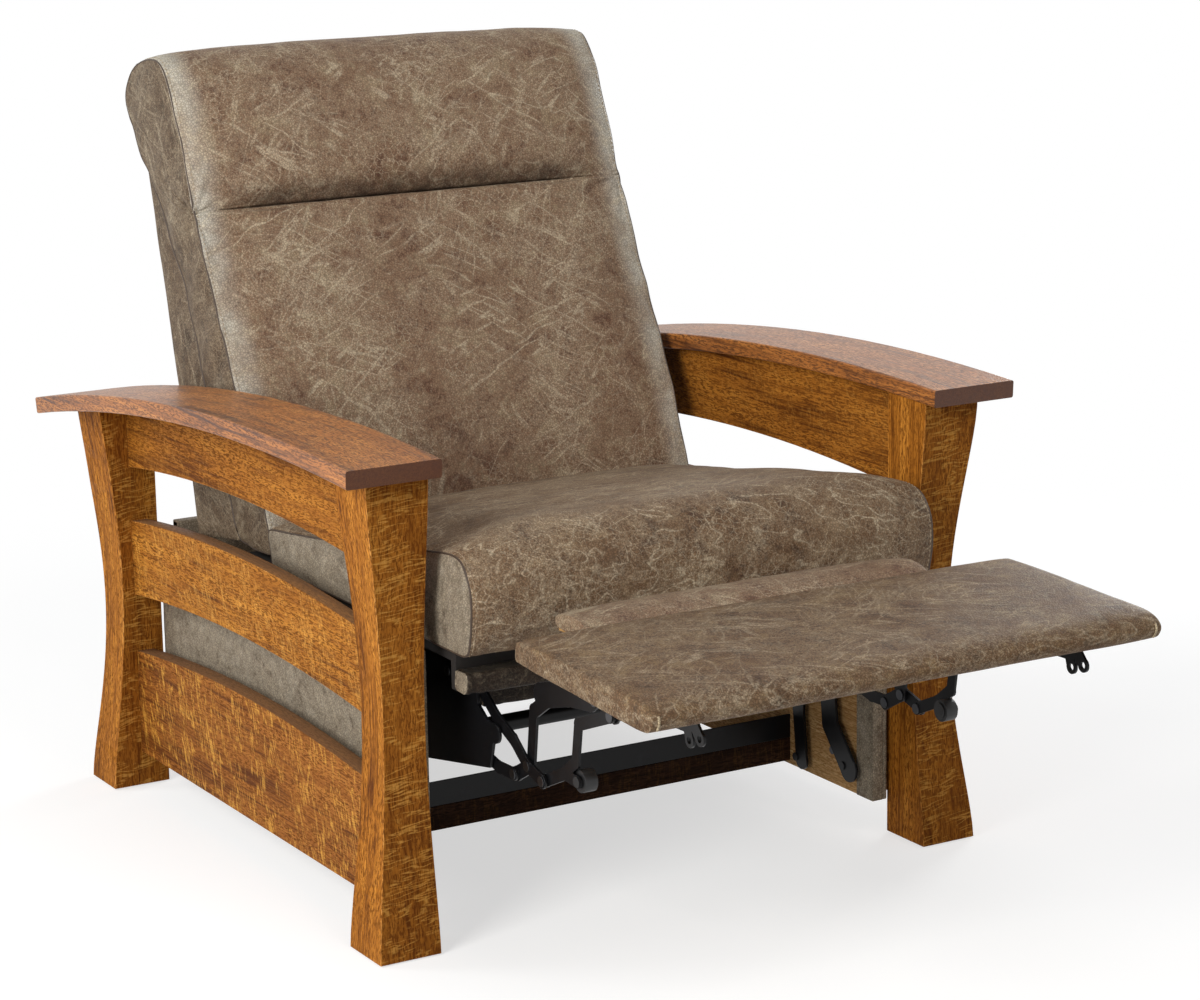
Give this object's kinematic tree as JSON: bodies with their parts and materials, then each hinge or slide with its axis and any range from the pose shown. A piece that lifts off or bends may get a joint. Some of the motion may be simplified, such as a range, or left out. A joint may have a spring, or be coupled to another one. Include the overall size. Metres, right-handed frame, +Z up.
{
  "type": "recliner",
  "caption": "Push-back recliner: arched wooden side frames with flared posts, leather seat, back and footrest pads on a folding steel linkage.",
  "frame": {"origin": "on the floor under the middle of the whole chair with its footrest out", "axes": "+Z up, the chair faces -Y, +X to the right when looking along +Y"},
  "size_m": [1.0088, 1.5212, 1.0835],
  "materials": {
    "oak": "satin lacquered quarter-sawn oak",
    "plywood": "bare plywood and softwood",
    "leather": "distressed full-grain leather",
    "dark_wood": "dark stained",
    "glide": "matt",
    "roller": "matt",
    "cloth": "woven",
    "pins": "zinc plated",
    "black_steel": "black enamel"
  },
  "bodies": {
    "base": {"post_front_left": "oak", "post_front_right": "oak", "post_rear_left": "oak", "post_rear_right": "oak", "armrest_left": "oak", "armrest_right": "oak", "upper_rail_left": "oak", "upper_rail_right": "oak", "middle_slat_left": "oak", "middle_slat_right": "oak", "lower_slat_left": "oak", "lower_slat_right": "oak", "base_panel_left": "plywood", "base_panel_right": "plywood", "base_cover_left": "leather", "base_cover_right": "leather", "rear_board": "plywood", "rear_cover": "leather", "front_stretcher": "dark_wood", "stretcher_angle": "black_steel", "tracks": "black_steel", "side_spacers": "plywood", "foot_glides": "glide", "base_bolts": "pins"},
    "seat_unit": {"side_plate_left": "black_steel", "side_plate_right": "black_steel", "slide_runners": "black_steel", "cross_tubes": "black_steel", "seat_rails": "plywood", "seat_platform": "cloth", "front_rail": "leather", "lower_roll": "leather", "roll_straps": "black_steel", "seat_cushion": "leather", "plate_pins": "pins"},
    "back": {"back_stiles": "plywood", "back_rails": "plywood", "back_brackets": "black_steel", "back_cushion": "leather", "back_sides": "leather", "back_outer": "leather"},
    "long_links": {"long_link_left": "black_steel", "long_link_right": "black_steel", "torque_tube": "black_steel", "long_link_pins": "pins"},
    "rear_links": {"rear_links": "black_steel", "rear_link_pins": "pins"},
    "couplers": {"coupler_left": "black_steel", "coupler_right": "black_steel", "coupler_pins": "pins"},
    "j_links": {"j_link_left": "black_steel", "j_link_right": "black_steel", "rest_rollers": "roller"},
    "footrest": {"footrest_brackets": "black_steel", "footrest_board": "plywood", "footrest_pad": "leather", "bracket_pins": "pins"},
    "middle_pad": {"flipper_brackets": "black_steel", "flipper_board": "plywood", "flipper_pad": "leather"}
  },
  "joints": [
    {"name": "recline", "type": "hinge", "parent": "seat_unit", "child": "back", "pos_m": [0, 0.40961, 0.345], "axis": [-1, 0, 0], "range_deg": [0, 25]},
    {"name": "seat_slide", "type": "slide", "parent": "base", "child": "seat_unit", "axis": [0, -1, 0], "range_m": [0, 0.09]},
    {"name": "footrest_fold", "type": "hinge", "parent": "seat_unit", "child": "long_links", "pos_m": [0, -0.16772, 0.35625], "axis": [1, 0, 0], "range_deg": [0, 87]},
    {"name": "rear_link_swing", "type": "hinge", "parent": "seat_unit", "child": "rear_links", "pos_m": [0, -0.13172, 0.33625], "axis": [1, 0, 0], "range_deg": [0, 87]},
    {"name": "coupler_swing", "type": "hinge", "parent": "long_links", "child": "couplers", "pos_m": [0, -0.32639, 0.257], "axis": [1, 0, 0], "range_deg": [-87, 0]},
    {"name": "footrest_turn", "type": "hinge", "parent": "couplers", "child": "footrest", "pos_m": [0, -0.48739, 0.38], "axis": [1, 0, 0], "range_deg": [0, 87]},
    {"name": "j_link_swing", "type": "hinge", "parent": "long_links", "child": "j_links", "pos_m": [0, -0.36292, 0.24653], "axis": [1, 0, 0], "range_deg": [-87, 0]},
    {"name": "middle_pad_turn", "type": "hinge", "parent": "couplers", "child": "middle_pad", "pos_m": [0, -0.48739, 0.38], "axis": [1, 0, 0], "range_deg": [-115, 0]}
  ],
  "couplings": [
    {"joint": "seat_slide", "follows": "recline", "m_per_rad": 0.2062},
    {"joint": "rear_link_swing", "follows": "footrest_fold", "ratio": 1},
    {"joint": "coupler_swing", "follows": "footrest_fold", "ratio": -1},
    {"joint": "footrest_turn", "follows": "footrest_fold", "ratio": 1},
    {"joint": "j_link_swing", "follows": "footrest_fold", "ratio": -1},
    {"joint": "middle_pad_turn", "follows": "footrest_fold", "ratio": -1.32}
  ]
}
